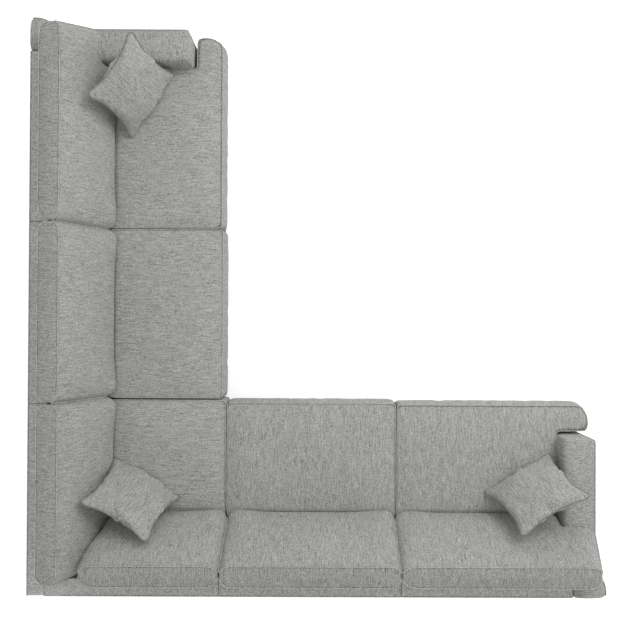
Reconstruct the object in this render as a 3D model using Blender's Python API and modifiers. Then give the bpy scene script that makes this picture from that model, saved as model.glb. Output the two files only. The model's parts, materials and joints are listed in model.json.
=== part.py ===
# Modular sectional sofa: five upholstered modules in an L, joined under their rails.
# The outer corner of the L is where the two runs start. On each run, "along" counts from that
# corner and "out" counts from the back of the sofa towards the person who sits on it.

import math

import bmesh
import bpy
from mathutils import Matrix, Vector
from mathutils.bvhtree import BVHTree

# Plan sizes, in metres
CORNER_SIDE = 0.943
ARMLESS_WIDTH = 0.900
ARMED_SEAT_WIDTH = 0.8455
ARM_WIDTH = 0.162
ARM_FRONT = 0.765
BASE_SETBACK = 0.058
SEAT_SETBACK = 0.023
BACK_THICKNESS = 0.085
POST_PROUD = 0.010

# Heights, in metres
FOOT_HEIGHT = 0.060
RAIL_HEIGHT = 0.233
SEAT_THICKNESS = 0.1774
ARM_TOP = 0.600
BACK_TOP = 0.740
CUSHION_TOP = 0.866

# Clearances between neighbours, in metres
FIT_GAP = 0.0003
SEAT_SIDE_GAP = 0.003
ARM_SIDE_GAP = 0.0006

# Base frames, feet and webbing
RAIL_THICKNESS = 0.050
UPHOLSTERY_ROUND = 0.008
FOOT_TOP_RADIUS = 0.024
FOOT_BOTTOM_RADIUS = 0.018
FOOT_SIDES = 16
WEBBING_THICKNESS = 0.004
WEBBING_INSET = 0.010
STRAP_WIDTH = 0.055
STRAP_GAPS = 3

# Connectors under the side rails
CONNECTOR_THICKNESS = 0.003
CONNECTOR_OUT = 0.500
CLAW_WIDTH = 0.070
CLAW_HOLD = 0.045
CLAW_REACH = 0.035
TONGUE_WIDTH = 0.022
TONGUE_HOLD = 0.045
TONGUE_REACH = 0.022
TONGUE_SIDE_GAP = 0.0008

# Back frames and arms
FRAME_ROUND = 0.012
POST_TOP_DEPTH = 0.055
SHOULDER_END = 0.135
SHOULDER_STEPS = 6

# Seat cushions
SEAT_CROWN = 0.045
SEAT_REST_DEPTH = 0.470
SEAT_EDGE = 0.045
SEAT_FRONT_BULGE = 0.030
SEAT_SIDE_DRAW = 0.006
WING_OVERHANG = 0.028
WING_NOTCH_GAP = 0.007
WING_NOTCH_RELIEF = 0.004
WING_NOTCH_EDGE = 0.040
ARMED_SEAT_SETBACK = 0.007

# Back cushions
BACK_CUSHION_FOOT = 0.356
BACK_CUSHION_HEAD = 0.190
BACK_CUSHION_CROWN = 0.050
BACK_CUSHION_TOP_CROWN = 0.028
BACK_CUSHION_SIDE_DRAW = 0.008
BACK_CUSHION_EDGE = 0.045
CORNER_SIDE_INSET = 0.019
FAR_SIDE_INSET = 0.012
CORNER_OVERHANG = 0.014
SHORT_CUSHION_LEAN = 0.056
BACK_WING_INSET = 0.004
BACK_WING_TAPER = 0.070

# Throw pillows
PILLOW_WIDTH = 0.400
PILLOW_HEIGHT = 0.368
PILLOW_THICKNESS = 0.150
PILLOW_SEAM = 0.008
PILLOW_DRAW = 0.016
PILLOW_TILT = math.radians(61)
CORNER_PILLOW_SPOT = (0.533, 0.534)
CORNER_PILLOW_HEADING = math.radians(239.5)
LEFT_PILLOW_FROM_ARM = 0.1985
LEFT_PILLOW_OUT = 0.549
LEFT_PILLOW_HEADING = math.radians(147)
RIGHT_PILLOW_FROM_ARM = 0.2125
RIGHT_PILLOW_OUT = 0.5625
RIGHT_PILLOW_HEADING = math.radians(-59)

# Shares, between 0 and 1
MIDDLE_SHARE = 0.5
EDGE_BUMP_SHARE = 0.5
PILLOW_CUT_SHARES = (0.12, 0.5, 0.88)

UP = Vector((0, 0, 1))

RAIL_TOP = FOOT_HEIGHT + RAIL_HEIGHT
WEBBING_TOP = RAIL_TOP + FIT_GAP + WEBBING_THICKNESS
SEAT_BOTTOM = WEBBING_TOP + FIT_GAP
SEAT_TOP = SEAT_BOTTOM + SEAT_THICKNESS
BASE_DEPTH = CORNER_SIDE - BASE_SETBACK
SEAT_DEPTH = CORNER_SIDE - SEAT_SETBACK
ARMED_WIDTH = ARMED_SEAT_WIDTH + ARM_WIDTH
BACK_FACE = BACK_THICKNESS + FIT_GAP
FIRST_MODULE = CORNER_SIDE
SECOND_MODULE = CORNER_SIDE + ARMLESS_WIDTH
FOOT_INSET = RAIL_THICKNESS / 2


def clear_scene():
    for obj in list(bpy.data.objects):
        bpy.data.objects.remove(obj)


def make_collection(name):
    collection = bpy.data.collections.new(name)
    bpy.context.scene.collection.children.link(collection)
    return collection


def make_material(name, colour, roughness, metallic=0.0):
    material = bpy.data.materials.new(name)
    material.use_nodes = True
    shader = material.node_tree.nodes["Principled BSDF"]
    shader.inputs["Base Color"].default_value = (*colour, 1)
    shader.inputs["Roughness"].default_value = roughness
    shader.inputs["Metallic"].default_value = metallic
    return material


class Run:
    """One leg of the L. It turns along, out and height into a place in the sofa."""

    def __init__(self, name, along, out):
        self.name = name
        self.along = Vector(along)
        self.out = Vector(out)

    def point(self, along, out, height=0):
        return self.along * along + self.out * out + UP * height


class Module:
    """A free-standing piece of the sofa, with an empty at its start on its run."""

    def __init__(self, name, run, start):
        self.name = name
        self.run = run
        self.empty = bpy.data.objects.new(name, None)
        self.empty.location = run.point(start, 0)
        self.empty.parent = ROOT
        SOFA.objects.link(self.empty)

    def adopt(self, obj, material):
        """Own a piece: its data gets the material and its parent is this module."""
        obj.data.materials.clear()
        obj.data.materials.append(material)
        obj.parent = self.empty
        SOFA.objects.link(obj)
        return obj


def finish_mesh(module, name, bm, material, smooth=True):
    bmesh.ops.recalc_face_normals(bm, faces=bm.faces)
    if bm.calc_volume(signed=True) < 0:
        bmesh.ops.reverse_faces(bm, faces=bm.faces)
    mesh = bpy.data.meshes.new(name)
    bm.to_mesh(mesh)
    bm.free()
    if smooth:
        mesh.shade_smooth()
    return module.adopt(bpy.data.objects.new(name, mesh), material)


def add_bevel(obj, width):
    bevel = obj.modifiers.new("rounded edges", "BEVEL")
    bevel.width = width
    bevel.segments = 2
    bevel.limit_method = "ANGLE"


def add_subdivision(obj):
    smooth = obj.modifiers.new("soft form", "SUBSURF")
    smooth.levels = 1
    smooth.render_levels = 1


def cut_box(low, high):
    """A box cage between two corners, as an open bmesh to cut and shape."""
    bm = bmesh.new()
    size = Vector(high) - Vector(low)
    centre = (Vector(high) + Vector(low)) / 2
    bmesh.ops.create_cube(bm, size=1, matrix=Matrix.Translation(centre) @ Matrix.Diagonal((*size, 1)))
    return bm


def slice_cage(bm, axis, places):
    """Cut the cage across one axis at each place."""
    normal = Vector((axis == 0, axis == 1, axis == 2))
    for place in places:
        geometry = bm.verts[:] + bm.edges[:] + bm.faces[:]
        bmesh.ops.bisect_plane(bm, geom=geometry, plane_co=normal * place, plane_no=normal)


def grow_wing(bm, side, axis, line, width):
    """Push out the part of the far side face that lies past a line on another axis."""
    faces = [f for f in bm.faces if f.normal.x > 0 and f.calc_center_median()[axis] > line]
    faces = [f for f in faces if abs(f.calc_center_median().x - side) < width]
    grown = bmesh.ops.extrude_face_region(bm, geom=faces)["geom"]
    bmesh.ops.delete(bm, geom=faces, context="FACES")
    moved = [v for v in grown if isinstance(v, bmesh.types.BMVert)]
    bmesh.ops.translate(bm, verts=moved, vec=(width, 0, 0))


def bump(share):
    """A soft hill: 0 at both ends, 1 in the middle, steep at the ends."""
    inside = min(max(share, 0), 1)
    return math.sin(math.pi * inside) ** EDGE_BUMP_SHARE


def blend(start, end, share):
    return start + (end - start) * share


def inset_outline(points, amount):
    """Move an outline into its material: outer outlines run anticlockwise and holes clockwise."""
    moved = []
    for i, point in enumerate(points):
        here = Vector(point)
        before = (here - Vector(points[i - 1])).normalized()
        after = (Vector(points[(i + 1) % len(points)]) - here).normalized()
        left_before = Vector((-before.y, before.x))
        left_after = Vector((-after.y, after.x))
        moved.append(here + (left_before + left_after) * amount / (1 + left_before.dot(left_after)))
    return moved


def rectangle(low, high):
    return [(low[0], low[1]), (high[0], low[1]), (high[0], high[1]), (low[0], high[1])]


def outline_curve(name, outlines, thickness, edge_round):
    curve = bpy.data.curves.new(name, "CURVE")
    curve.dimensions = "2D"
    curve.fill_mode = "BOTH"
    curve.extrude = thickness / 2 - edge_round
    curve.bevel_depth = edge_round
    curve.bevel_resolution = 1
    for outline in outlines:
        spline = curve.splines.new("POLY")
        spline.points.add(len(outline) - 1)
        for target, point in zip(spline.points, outline):
            target.co = (point[0], point[1], 0, 1)
        spline.use_cyclic_u = True
    return curve


def flat_plate(module, name, outer, holes, bottom, thickness, edge_round, material):
    """A level plate: outlines are given along and out, and keep their size when rounded."""
    inner = [list(reversed(hole)) for hole in holes]
    outlines = [inset_outline(outline, edge_round) for outline in [outer, *inner]]
    placed = [[module.run.point(*point) for point in outline] for outline in outlines]
    curve = outline_curve(name, placed, thickness, edge_round)
    obj = bpy.data.objects.new(name, curve)
    obj.location = UP * (bottom + thickness / 2)
    return module.adopt(obj, material)


def upright_plate(module, name, outline, start, width, edge_round, material):
    """A plate that stands on the run's cross-section: its outline is given out and up."""
    curve = outline_curve(name, [inset_outline(outline, edge_round)], width, edge_round)
    obj = bpy.data.objects.new(name, curve)
    sideways = module.run.out.cross(UP)
    turn = Matrix((module.run.out, UP, sideways)).transposed()
    obj.rotation_euler = turn.to_euler()
    obj.location = module.run.point(start + width / 2, 0)
    return module.adopt(obj, material)


def add_base(module, outer, far):
    """The upholstered rail box that carries the seat, open in the middle."""
    low = outer[0]
    hole = rectangle(
        (low[0] + RAIL_THICKNESS, low[1] + RAIL_THICKNESS),
        (far - RAIL_THICKNESS, BASE_DEPTH - RAIL_THICKNESS),
    )
    name = module.name + "_base_frame"
    flat_plate(module, name, outer, [hole], FOOT_HEIGHT, RAIL_HEIGHT, UPHOLSTERY_ROUND, FABRIC)


def corner_base_outline(far):
    """The corner's rail box steps back at the inner corner, in line with its neighbours' fronts."""
    return [
        (BACK_FACE, BACK_FACE), (far, BACK_FACE), (far, BASE_DEPTH), (BASE_DEPTH, BASE_DEPTH),
        (BASE_DEPTH, far), (BACK_FACE, far),
    ]


def armed_base_outline(far):
    """An armed module's rail box runs on in front of the arm, under the seat's wing."""
    step = ARM_FRONT + FIT_GAP
    end = far + ARM_WIDTH
    return [
        (FIT_GAP, BACK_FACE), (far, BACK_FACE), (far, step), (end, step), (end, BASE_DEPTH),
        (FIT_GAP, BASE_DEPTH),
    ]


def add_webbing(module, low, high):
    """Straps stapled across the rails in both directions, held flat as one lattice."""
    low = Vector(low) + Vector((WEBBING_INSET, WEBBING_INSET))
    high = Vector(high) - Vector((WEBBING_INSET, WEBBING_INSET))
    gap = (high - low - Vector((STRAP_WIDTH, STRAP_WIDTH)) * (STRAP_GAPS + 1)) / STRAP_GAPS
    holes = []
    for i in range(STRAP_GAPS):
        for j in range(STRAP_GAPS):
            corner = low + Vector((
                STRAP_WIDTH + i * (gap.x + STRAP_WIDTH),
                STRAP_WIDTH + j * (gap.y + STRAP_WIDTH),
            ))
            holes.append(rectangle(corner, corner + gap))
    name = module.name + "_seat_webbing"
    bottom = RAIL_TOP + FIT_GAP
    flat_plate(module, name, rectangle(low, high), holes, bottom, WEBBING_THICKNESS, 0, WEBBING)


def add_foot(module, number, along, out):
    bm = bmesh.new()
    height = FOOT_HEIGHT - FIT_GAP
    bmesh.ops.create_cone(
        bm, cap_ends=True, segments=FOOT_SIDES, depth=height,
        radius1=FOOT_BOTTOM_RADIUS, radius2=FOOT_TOP_RADIUS,
    )
    foot = finish_mesh(module, "%s_foot_%d" % (module.name, number), bm, FOOT_PLASTIC, smooth=False)
    foot.location = module.run.point(along, out, height / 2)


def add_back_frame(module, name, start, end):
    low = module.run.point(start + FIT_GAP, 0, FOOT_HEIGHT)
    high = module.run.point(end - FIT_GAP, BACK_THICKNESS, BACK_TOP)
    bm = cut_box(low, high)
    obj = finish_mesh(module, name, bm, FABRIC)
    add_bevel(obj, FRAME_ROUND)


def add_arm(module):
    """The arm panel and, behind it, the post that reaches the top of the back frame."""
    shoulder = []
    for i in range(SHOULDER_STEPS + 1):
        share = i / SHOULDER_STEPS
        height = ARM_TOP + (BACK_TOP - ARM_TOP) * (1 + math.cos(math.pi * share)) / 2
        shoulder.append((blend(POST_TOP_DEPTH - POST_PROUD, SHOULDER_END - POST_PROUD, share), height))
    outline = [
        (-POST_PROUD, FOOT_HEIGHT), (ARM_FRONT, FOOT_HEIGHT), (ARM_FRONT, ARM_TOP),
        *reversed(shoulder), (-POST_PROUD, BACK_TOP),
    ]
    start = ARMED_SEAT_WIDTH + FIT_GAP
    name = module.name + "_arm"
    upright_plate(module, name, outline, start, ARM_WIDTH - FIT_GAP, UPHOLSTERY_ROUND, FABRIC)


def seat_rule(low, high, flat_along, notch=None, relief=0):
    """How a seat cushion departs from its box: crowned in front, flat under the back cushion.
    The relief draws its side in behind, so that it lifts out past a neighbour that overhangs it."""
    def shape(along, out, height):
        at_notch = (along, out) == notch
        share_along = (along - low[0]) / (high[0] - low[0])
        share_out = (out - low[1]) / (high[1] - low[1])
        crown_out = (out - SEAT_REST_DEPTH) / (high[1] - SEAT_REST_DEPTH)
        crown_along = (along - flat_along) / (high[0] - flat_along)
        middle = SEAT_BOTTOM < height < SEAT_TOP
        if height == SEAT_TOP:
            height = height + SEAT_CROWN * bump(crown_along) * bump(crown_out)
        if middle and out == high[1]:
            out = out + SEAT_FRONT_BULGE
        if along == low[0]:
            hidden = out <= BACK_CUSHION_FOOT
            along = along + SEAT_SIDE_DRAW * bump(share_out) + (relief if hidden else 0)
        if along == high[0]:
            along = along - SEAT_SIDE_DRAW * bump(share_out)
        if at_notch:
            along = along - WING_NOTCH_RELIEF
            out = out + WING_NOTCH_RELIEF
        return along, out, height
    return shape


def soft_block(module, name, lines, rule, wing=None):
    """A cushion: a box cage cut along its lines, shaped by its rule and subdivided."""
    low = [axis[0] for axis in lines]
    high = [axis[-1] for axis in lines]
    if wing:
        side, axis, line = wing
        bm = cut_box(low, (side, high[1], high[2]))
        slice_cage(bm, axis, [line])
        grow_wing(bm, side, axis, line, high[0] - side)
    else:
        bm = cut_box(low, high)
    for number, places in enumerate(lines):
        slice_cage(bm, number, places[1:-1])
    bmesh.ops.remove_doubles(bm, verts=bm.verts, dist=FIT_GAP / 2)
    places_of = {}
    for vert in bm.verts:
        places_of[vert] = [
            min(lines[i], key=lambda place: abs(place - vert.co[i])) for i in range(3)
        ]
    if wing:
        crease = bm.edges.layers.float.new("crease_edge")
        for edge in bm.edges:
            ends = [places_of[vert] for vert in edge.verts]
            if all(end[0] == side and end[axis] == line for end in ends):
                edge[crease] = 1
    for vert, places in places_of.items():
        vert.co = module.run.point(*rule(*places))
    obj = finish_mesh(module, name, bm, FABRIC)
    add_subdivision(obj)
    return obj


def seat_heights():
    return [SEAT_BOTTOM, blend(SEAT_BOTTOM, SEAT_TOP, MIDDLE_SHARE), SEAT_TOP]


def add_seat(module, start, width, corner=False, relief=0):
    front = CORNER_SIDE - SEAT_SIDE_GAP if corner else SEAT_DEPTH
    low = (start, BACK_FACE)
    high = (width - SEAT_SIDE_GAP, front)
    flat_along = SEAT_REST_DEPTH if corner else low[0]
    flat_cut = flat_along if corner else blend(low[0], high[0], MIDDLE_SHARE)
    after_flat = [blend(flat_cut, high[0], MIDDLE_SHARE)] if corner else []
    hidden_cut = [BACK_CUSHION_FOOT] if relief else []
    lines = [
        [low[0], low[0] + SEAT_EDGE, flat_cut, *after_flat, high[0] - SEAT_EDGE, high[0]],
        [low[1], low[1] + SEAT_EDGE, *hidden_cut, SEAT_REST_DEPTH,
         blend(SEAT_REST_DEPTH, high[1], MIDDLE_SHARE), high[1] - SEAT_EDGE, high[1]],
        seat_heights(),
    ]
    rule = seat_rule(low, high, flat_along, relief=relief)
    if corner:
        rule = corner_seat_rule(low, high)
    return soft_block(module, module.name + "_seat_cushion", lines, rule)


def corner_seat_rule(low, high):
    """The corner seat has two hidden sides against its neighbours and no free front."""
    def shape(along, out, height):
        crown_along = (along - SEAT_REST_DEPTH) / (high[0] - SEAT_REST_DEPTH)
        crown_out = (out - SEAT_REST_DEPTH) / (high[1] - SEAT_REST_DEPTH)
        if height == SEAT_TOP:
            height = height + SEAT_CROWN * bump(crown_along) * bump(crown_out)
        if along == high[0]:
            along = along - SEAT_SIDE_DRAW * bump((out - low[1]) / (high[1] - low[1]))
        if out == high[1]:
            out = out - SEAT_SIDE_DRAW * bump((along - low[0]) / (high[0] - low[0]))
        return along, out, height
    return shape


def add_armed_seat(module):
    """The seat whose front wraps round the end of the arm."""
    low = (SEAT_SIDE_GAP, BACK_FACE)
    high = (ARMED_WIDTH + WING_OVERHANG, SEAT_DEPTH - ARMED_SEAT_SETBACK)
    side = ARMED_SEAT_WIDTH - ARM_SIDE_GAP
    notch = ARM_FRONT + WING_NOTCH_GAP
    lines = [
        [low[0], low[0] + SEAT_EDGE, blend(low[0], side, MIDDLE_SHARE), side - SEAT_EDGE, side,
         high[0] - SEAT_EDGE, high[0]],
        [low[1], low[1] + SEAT_EDGE, SEAT_REST_DEPTH, notch - WING_NOTCH_EDGE, notch,
         high[1] - SEAT_EDGE, high[1]],
        seat_heights(),
    ]
    rule = seat_rule(low, high, low[0], (side, notch))
    return soft_block(module, module.name + "_seat_cushion", lines, rule, wing=(side, 1, notch))


def back_cushion_heights():
    shoulder = BACK_TOP - UPHOLSTERY_ROUND
    return [
        SEAT_TOP + FIT_GAP, SEAT_TOP + FIT_GAP + BACK_CUSHION_EDGE, ARM_TOP + FIT_GAP + UPHOLSTERY_ROUND,
        shoulder, CUSHION_TOP - BACK_CUSHION_EDGE, CUSHION_TOP,
    ]


def back_rule(low_along, high_along, heights, lean=0, side=None):
    """How a back cushion stands: upright behind, leaning in front, crowned front and top."""
    bottom = heights[0]
    top = heights[-1]

    def shape(along, depth_share, height):
        rise = (height - bottom) / (top - bottom)
        share_along = (along - low_along) / (high_along - low_along)
        face = blend(BACK_CUSHION_FOOT, BACK_CUSHION_HEAD, rise)
        rear = BACK_FACE
        if side is not None and along >= side and ARM_TOP < height < BACK_TOP - UPHOLSTERY_ROUND:
            rear = SHOULDER_END
        if side is not None and along == high_along:
            along = along - BACK_WING_TAPER * (height - ARM_TOP) / (top - ARM_TOP)
        if depth_share == 1:
            face = face + BACK_CUSHION_CROWN * bump(share_along) * bump(rise)
        if height == top and 0 < depth_share < 1:
            height = height + BACK_CUSHION_TOP_CROWN * bump(share_along)
        if along == low_along:
            along = along - lean * rise + BACK_CUSHION_SIDE_DRAW * bump(rise)
        if along == high_along:
            along = along - BACK_CUSHION_SIDE_DRAW * bump(rise)
        return along, blend(rear, face, depth_share), height
    return shape


def add_back_cushion(module, name, start, end, lean=0, armed=False):
    heights = back_cushion_heights()
    side = None
    wing = None
    along = [start, start + BACK_CUSHION_EDGE, blend(start, end, MIDDLE_SHARE),
             end - BACK_CUSHION_EDGE, end]
    if armed:
        side = ARMED_SEAT_WIDTH - ARM_SIDE_GAP
        end = ARMED_WIDTH - BACK_WING_INSET
        along = [start, start + BACK_CUSHION_EDGE, blend(start, side, MIDDLE_SHARE), side,
                 end - BACK_CUSHION_EDGE, end]
        wing = (side, 2, heights[2])
    lines = [along, [0, MIDDLE_SHARE, 1], heights]
    rule = back_rule(start, end, heights, lean, side)
    return soft_block(module, name, lines, rule, wing)


def add_claw(module, boundary):
    """The forked plate screwed under the rail of the module nearer the corner."""
    half = CLAW_WIDTH / 2
    slot = TONGUE_WIDTH / 2 + TONGUE_SIDE_GAP
    inner = boundary - TONGUE_REACH - FIT_GAP
    outline = [
        (boundary - CLAW_HOLD, CONNECTOR_OUT - half), (boundary + CLAW_REACH, CONNECTOR_OUT - half),
        (boundary + CLAW_REACH, CONNECTOR_OUT - slot), (inner, CONNECTOR_OUT - slot),
        (inner, CONNECTOR_OUT + slot), (boundary + CLAW_REACH, CONNECTOR_OUT + slot),
        (boundary + CLAW_REACH, CONNECTOR_OUT + half), (boundary - CLAW_HOLD, CONNECTOR_OUT + half),
    ]
    bottom = FOOT_HEIGHT - FIT_GAP - CONNECTOR_THICKNESS
    name = module.name + "_" + module.claw_side + "connector_claw"
    flat_plate(module, name, outline, [], bottom, CONNECTOR_THICKNESS, 0, STEEL)


def add_tongue(module):
    """The straight plate that slides into the claw of the module before it."""
    half = TONGUE_WIDTH / 2
    outline = rectangle((-TONGUE_REACH, CONNECTOR_OUT - half), (TONGUE_HOLD, CONNECTOR_OUT + half))
    bottom = FOOT_HEIGHT - FIT_GAP - CONNECTOR_THICKNESS
    flat_plate(module, module.name + "_connector_tongue", outline, [], bottom, CONNECTOR_THICKNESS, 0, STEEL)


def add_pillow(module, name, spot, heading):
    """A knife-edged square pillow that leans back towards its heading."""
    size = Vector((PILLOW_WIDTH, PILLOW_HEIGHT, PILLOW_THICKNESS))
    bm = cut_box(-size / 2, size / 2)
    slice_cage(bm, 0, [(share - MIDDLE_SHARE) * size.x for share in PILLOW_CUT_SHARES])
    slice_cage(bm, 1, [(share - MIDDLE_SHARE) * size.y for share in PILLOW_CUT_SHARES])
    for vert in bm.verts:
        share_x = vert.co.x / size.x + MIDDLE_SHARE
        share_y = vert.co.y / size.y + MIDDLE_SHARE
        hill = bump(share_x) * bump(share_y)
        inward_x = PILLOW_DRAW * bump(share_y) * vert.co.x / (size.x / 2)
        inward_y = PILLOW_DRAW * bump(share_x) * vert.co.y / (size.y / 2)
        thick = blend(PILLOW_SEAM, size.z, hill) / 2
        vert.co = Vector((vert.co.x - inward_x, vert.co.y - inward_y, math.copysign(thick, vert.co.z)))
    obj = finish_mesh(module, name, bm, FABRIC)
    add_subdivision(obj)
    foot = module.run.point(*spot)
    back = Vector((math.cos(heading), math.sin(heading), 0))
    rise = back * math.cos(PILLOW_TILT) + UP * math.sin(PILLOW_TILT)
    across = rise.cross(back).normalized()
    facing = across.cross(rise)
    obj.rotation_euler = Matrix((across, rise, facing)).transposed().to_euler()
    obj.location = foot + rise * size.y / 2 + UP * SEAT_TOP
    return obj


def lower_onto(pillow, seat):
    """Move the pillow up or down until it rests on the seat with the usual gap."""
    graph = bpy.context.evaluated_depsgraph_get()
    trees = []
    points = []
    for obj in (pillow, seat):
        mesh = obj.evaluated_get(graph).to_mesh()
        mesh.transform(obj.matrix_world)
        points.append([v.co.copy() for v in mesh.vertices])
        trees.append(BVHTree.FromPolygons(points[-1], [p.vertices for p in mesh.polygons]))
    drops = []
    for point in points[0]:
        hit = trees[1].ray_cast(Vector((point.x, point.y, ARM_TOP + BACK_TOP)), -UP)[0]
        if hit:
            drops.append(point.z - hit.z)
    for point in points[1]:
        hit = trees[0].ray_cast(Vector((point.x, point.y, 0)), UP)[0]
        if hit:
            drops.append(hit.z - point.z)
    pillow.location.z -= min(drops) - FIT_GAP


def build_corner():
    module = Module("corner", BOTTOM_RUN, 0)
    left = Module("corner_left", LEFT_RUN, 0)
    far = CORNER_SIDE - FIT_GAP
    add_base(module, corner_base_outline(far), BASE_DEPTH)
    add_webbing(module, (BACK_FACE, BACK_FACE), (BASE_DEPTH, BASE_DEPTH))
    add_back_frame(left, "corner_left_back_frame", 0, CORNER_SIDE)
    add_back_frame(module, "corner_rear_back_frame", BACK_THICKNESS, CORNER_SIDE)
    rear = BACK_THICKNESS / 2
    front = BASE_DEPTH - FOOT_INSET
    side = far - FOOT_INSET
    for number, spot in enumerate(((rear, rear), (side, rear), (rear, side), (front, front)), 1):
        add_foot(module, number, *spot)
    seat = add_seat(module, BACK_FACE, CORNER_SIDE, corner=True)
    add_back_cushion(left, "corner_left_back_cushion", BACK_FACE, CORNER_SIDE + CORNER_OVERHANG)
    short_start = BACK_CUSHION_FOOT + FIT_GAP
    add_back_cushion(
        module, "corner_rear_back_cushion", short_start, CORNER_SIDE + CORNER_OVERHANG,
        lean=SHORT_CUSHION_LEAN,
    )
    module.claw_side = "right_"
    left.name = "corner"
    left.claw_side = "left_"
    add_claw(module, CORNER_SIDE)
    add_claw(left, CORNER_SIDE)
    pillow = add_pillow(module, "throw_pillow_corner", CORNER_PILLOW_SPOT, CORNER_PILLOW_HEADING)
    return pillow, seat


def build_armless(name, run):
    module = Module(name, run, FIRST_MODULE)
    far = ARMLESS_WIDTH - FIT_GAP
    add_base(module, rectangle((FIT_GAP, BACK_FACE), (far, BASE_DEPTH)), far)
    add_webbing(module, (FIT_GAP, BACK_FACE), (far, BASE_DEPTH))
    add_back_frame(module, name + "_back_frame", 0, ARMLESS_WIDTH)
    near = FOOT_INSET + FIT_GAP
    side = far - FOOT_INSET
    rear = BACK_THICKNESS / 2
    front = BASE_DEPTH - FOOT_INSET
    for number, spot in enumerate(((near, rear), (side, rear), (near, front), (side, front)), 1):
        add_foot(module, number, *spot)
    add_seat(module, SEAT_SIDE_GAP, ARMLESS_WIDTH, relief=CORNER_OVERHANG)
    add_back_cushion(module, name + "_back_cushion", CORNER_SIDE_INSET, ARMLESS_WIDTH - FAR_SIDE_INSET)
    module.claw_side = ""
    add_tongue(module)
    add_claw(module, ARMLESS_WIDTH)


def build_armed(name, run, pillow_name, spot, heading):
    module = Module(name, run, SECOND_MODULE)
    far = ARMED_SEAT_WIDTH - FIT_GAP
    add_base(module, armed_base_outline(far), far)
    add_webbing(module, (FIT_GAP, BACK_FACE), (far, BASE_DEPTH))
    add_back_frame(module, name + "_back_frame", 0, ARMED_SEAT_WIDTH)
    add_arm(module)
    near = FOOT_INSET + FIT_GAP
    side = ARMED_WIDTH - ARM_WIDTH / 2
    rear = BACK_THICKNESS / 2
    front = BASE_DEPTH - FOOT_INSET
    for number, place in enumerate(((near, rear), (side, rear), (near, front), (side, front)), 1):
        add_foot(module, number, *place)
    seat = add_armed_seat(module)
    add_back_cushion(module, name + "_back_cushion", FAR_SIDE_INSET, ARMED_SEAT_WIDTH, armed=True)
    add_tongue(module)
    return add_pillow(module, pillow_name, spot, heading), seat


def centre_on_footprint():
    """Put the origin under the middle of the sofa's box, on the floor."""
    bpy.context.view_layer.update()
    graph = bpy.context.evaluated_depsgraph_get()
    corners = []
    for obj in SOFA.objects:
        if obj.type != "EMPTY":
            mesh = obj.evaluated_get(graph).to_mesh()
            corners += [obj.matrix_world @ v.co for v in mesh.vertices]
    low = Vector([min(c[i] for c in corners) for i in range(3)])
    high = Vector([max(c[i] for c in corners) for i in range(3)])
    ROOT.location = (-(low.x + high.x) / 2, -(low.y + high.y) / 2, 0)
    bpy.context.view_layer.update()
    print("sofa box", [round(v, 4) for v in high - low], "origin from the corner", ROOT.location[:2])


clear_scene()
SOFA = make_collection("sectional_sofa")
ROOT = bpy.data.objects.new("sofa", None)
SOFA.objects.link(ROOT)
FABRIC = make_material("grey_fabric", (0.31, 0.31, 0.29), 0.9)
WEBBING = make_material("seat_webbing", (0.03, 0.03, 0.03), 0.85)
FOOT_PLASTIC = make_material("foot_plastic", (0.02, 0.02, 0.02), 0.5)
STEEL = make_material("connector_steel", (0.55, 0.55, 0.56), 0.35, metallic=1.0)
BOTTOM_RUN = Run("right", (1, 0, 0), (0, 1, 0))
LEFT_RUN = Run("left", (0, 1, 0), (1, 0, 0))

left_spot = (ARMED_SEAT_WIDTH - LEFT_PILLOW_FROM_ARM, LEFT_PILLOW_OUT)
right_spot = (ARMED_SEAT_WIDTH - RIGHT_PILLOW_FROM_ARM, RIGHT_PILLOW_OUT)
resting = [
    build_corner(),
    build_armed("armed_left", LEFT_RUN, "throw_pillow_left", left_spot, LEFT_PILLOW_HEADING),
    build_armed("armed_right", BOTTOM_RUN, "throw_pillow_right", right_spot, RIGHT_PILLOW_HEADING),
]
build_armless("armless_left", LEFT_RUN)
build_armless("armless_right", BOTTOM_RUN)
bpy.context.view_layer.update()
for resting_pillow, carrying_seat in resting:
    lower_onto(resting_pillow, carrying_seat)
centre_on_footprint()
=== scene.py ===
# %% [markdown]
# # A modular corner sofa in heathered cloth
# Five upholstered modules stand in an L: a corner, two armless seats and two seats with an arm.
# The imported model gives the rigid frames, feet and connectors at their real size. This lesson
# dresses it: padded panels over the frames, cloth-simulated cushions with piped seams, knife-edged
# throw pillows, and a woven cloth whose threads follow each module. Everything is in metres.

# %% Load the frame
import itertools
import json
import math

import bmesh
import bpy
import numpy as np
from mathutils import Matrix, Vector
from mathutils.bvhtree import BVHTree

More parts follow.
